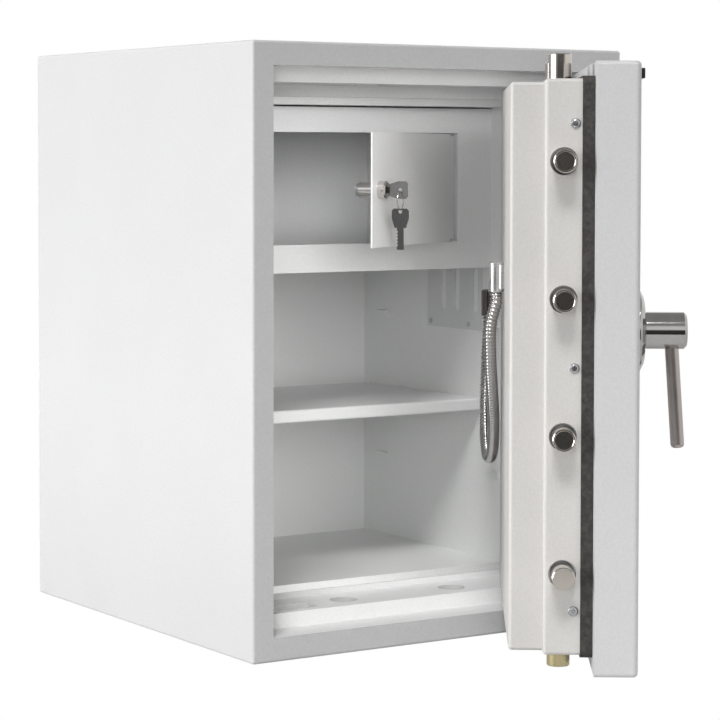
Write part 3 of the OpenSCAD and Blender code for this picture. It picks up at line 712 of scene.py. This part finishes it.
@dataclass(frozen=True)
class Room:
    """The surroundings: white to the camera, plain soft light on the object.

    Polished metal mirrors a pale room: a floor, lighter walls and a darker ceiling, with a dim
    patch low down on the camera's side. An edge is the stretch over which one tone passes into
    the next, in the upward part of a direction, or in its part toward the camera.
    """

    view: Viewpoint
    ambient: float = 0.14
    floor_tone: float = 0.60
    wall_gain: float = 0.35
    ceiling_loss: float = 0.62
    dimming: float = 0.93
    wall_edge: tuple[float, float] = (-0.5, 0.3)
    ceiling_edge: tuple[float, float] = (0.40, 0.62)
    dim_top_edge: tuple[float, float] = (0.05, 0.16)
    dim_side_edge: tuple[float, float] = (0.55, 0.93)

    def build(self) -> None:
        """Makes the world."""
        world = bpy.data.worlds.new("studio")
        world.use_nodes = True
        bpy.context.scene.world = world
        sky = Graph(world.node_tree)
        x, y, z = sky.split(sky.node("ShaderNodeTexCoord", {}, {}).outputs["Generated"])
        ahead = self.view.ahead()
        camera_side = (x * -ahead[0] + y * -ahead[1]).ramp(*self.dim_side_edge)
        dim = camera_side * (1 - z.ramp(*self.dim_top_edge)) * self.dimming
        tone = (z.ramp(*self.wall_edge) * self.wall_gain + self.floor_tone
                - z.ramp(*self.ceiling_edge) * self.ceiling_loss) * (1 - dim)
        mirrored = sky.node("ShaderNodeCombineColor", {}, {0: tone, 1: tone, 2: tone}).outputs[0]
        lit = sky.mix(sky.ray("Is Glossy Ray"), grey(self.ambient), mirrored)
        seen = sky.mix(sky.ray("Is Camera Ray"), lit, WHITE)
        sky.feed(sky.tree.nodes["Background"].inputs["Color"], seen)


@dataclass(frozen=True)
class Lamp:
    """A broad, distant lamp.

    Its direction runs from the object to the lamp. The strength is the light on a surface that
    faces it, and the softness is the angle that it fills, in degrees. With gleam, polished metal
    mirrors it. Where nodes are named, it lights only those.
    """

    name: str
    direction: tuple[float, float, float]
    strength: float
    softness: float
    gleam: bool = False
    nodes: tuple[str, ...] = ()

    def build(self) -> None:
        """Hangs the lamp."""
        data = bpy.data.lights.new(self.name, "SUN")
        data.energy = self.strength * math.pi
        data.angle = math.radians(self.softness)
        lamp = bpy.data.objects.new(self.name, data)
        lamp.rotation_euler = Vector(self.direction).to_track_quat("Z", "Y").to_euler()
        lamp.visible_glossy = self.gleam
        bpy.context.scene.collection.objects.link(lamp)
        if self.nodes:
            lit = bpy.data.collections.new(self.name)
            for node in self.nodes:
                lit.objects.link(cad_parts[node])
            lamp.light_linking.receiver_collection = lit


@dataclass(frozen=True)
class Floor:
    """A pale floor just under the object, which shows white to the camera, in millimetres."""

    half_size: float = 1500.0
    drop: float = 0.5
    tone: float = 0.66
    roughness: float = 0.6

    def build(self) -> None:
        """Lays the floor."""
        bm = bmesh.new()
        bmesh.ops.create_grid(bm, x_segments=1, y_segments=1, size=self.half_size * MM)
        shader = Shader("floor_white")
        shader.dress(Base_Color=grey(self.tone), Roughness=self.roughness)
        glow = shader.node("ShaderNodeEmission", {}, {"Color": WHITE, "Strength": 1.0})
        mixed = shader.node("ShaderNodeMixShader", {}, {0: shader.ray("Is Camera Ray"),
                            1: shader.bsdf.outputs[0], 2: glow.outputs[0]})
        shader.feed(shader.tree.nodes["Material Output"].inputs["Surface"], mixed.outputs[0])
        floor = mesh_object("floor", bm, shader.material, smooth=False)
        floor.location.z = -self.drop * MM


class Studio:
    """Camera, surroundings, lamps and floor."""

    INSIDE = ("inner_liner", "side_cover_plate", "shelf_clips", "upper_shelf", "locker_box",
              "locker_front", "locker_leaf")
    DOORWAY = ("locker_box", "door_frame", "frame_ledge")
    # The last two lamps stand for the light that a real room throws into the shaded doorway.
    LAMPS = (
        Lamp("left_bank", (-1.0, 0.35, 0.18), 0.80, 45, gleam=True),
        Lamp("front_bank", (-0.9, -1.0, 0.16), 0.19, 30),
        Lamp("overhead", (-0.70, -0.75, 1.30), 0.58, 18, gleam=True),
        Lamp("right_fill", (0.9, 0.2, 0.4), 0.62, 60),
        Lamp("room_fill", (-0.28, -1.0, 0.13), 0.58, 30, nodes=INSIDE),
        Lamp("locker_fill", (-0.62, -1.0, 0.08), 0.29, 16, nodes=DOORWAY),
    )

    def build(self) -> None:
        """Sets up everything round the object."""
        view = Viewpoint()
        view.build()
        Room(view).build()
        for lamp in self.LAMPS:
            lamp.build()
        Floor().build()
        bpy.context.scene.view_settings.view_transform = "Standard"


def main() -> None:
    """Builds the scene's parts in order."""
    logging.basicConfig(level=logging.INFO, format="%(name)s: %(message)s")
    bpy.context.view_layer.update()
    Studio().build()
    Finishes().build()
    Conduit(Layout()).build(Finishes.CONDUIT.build())


if __name__ == "__main__":
    main()
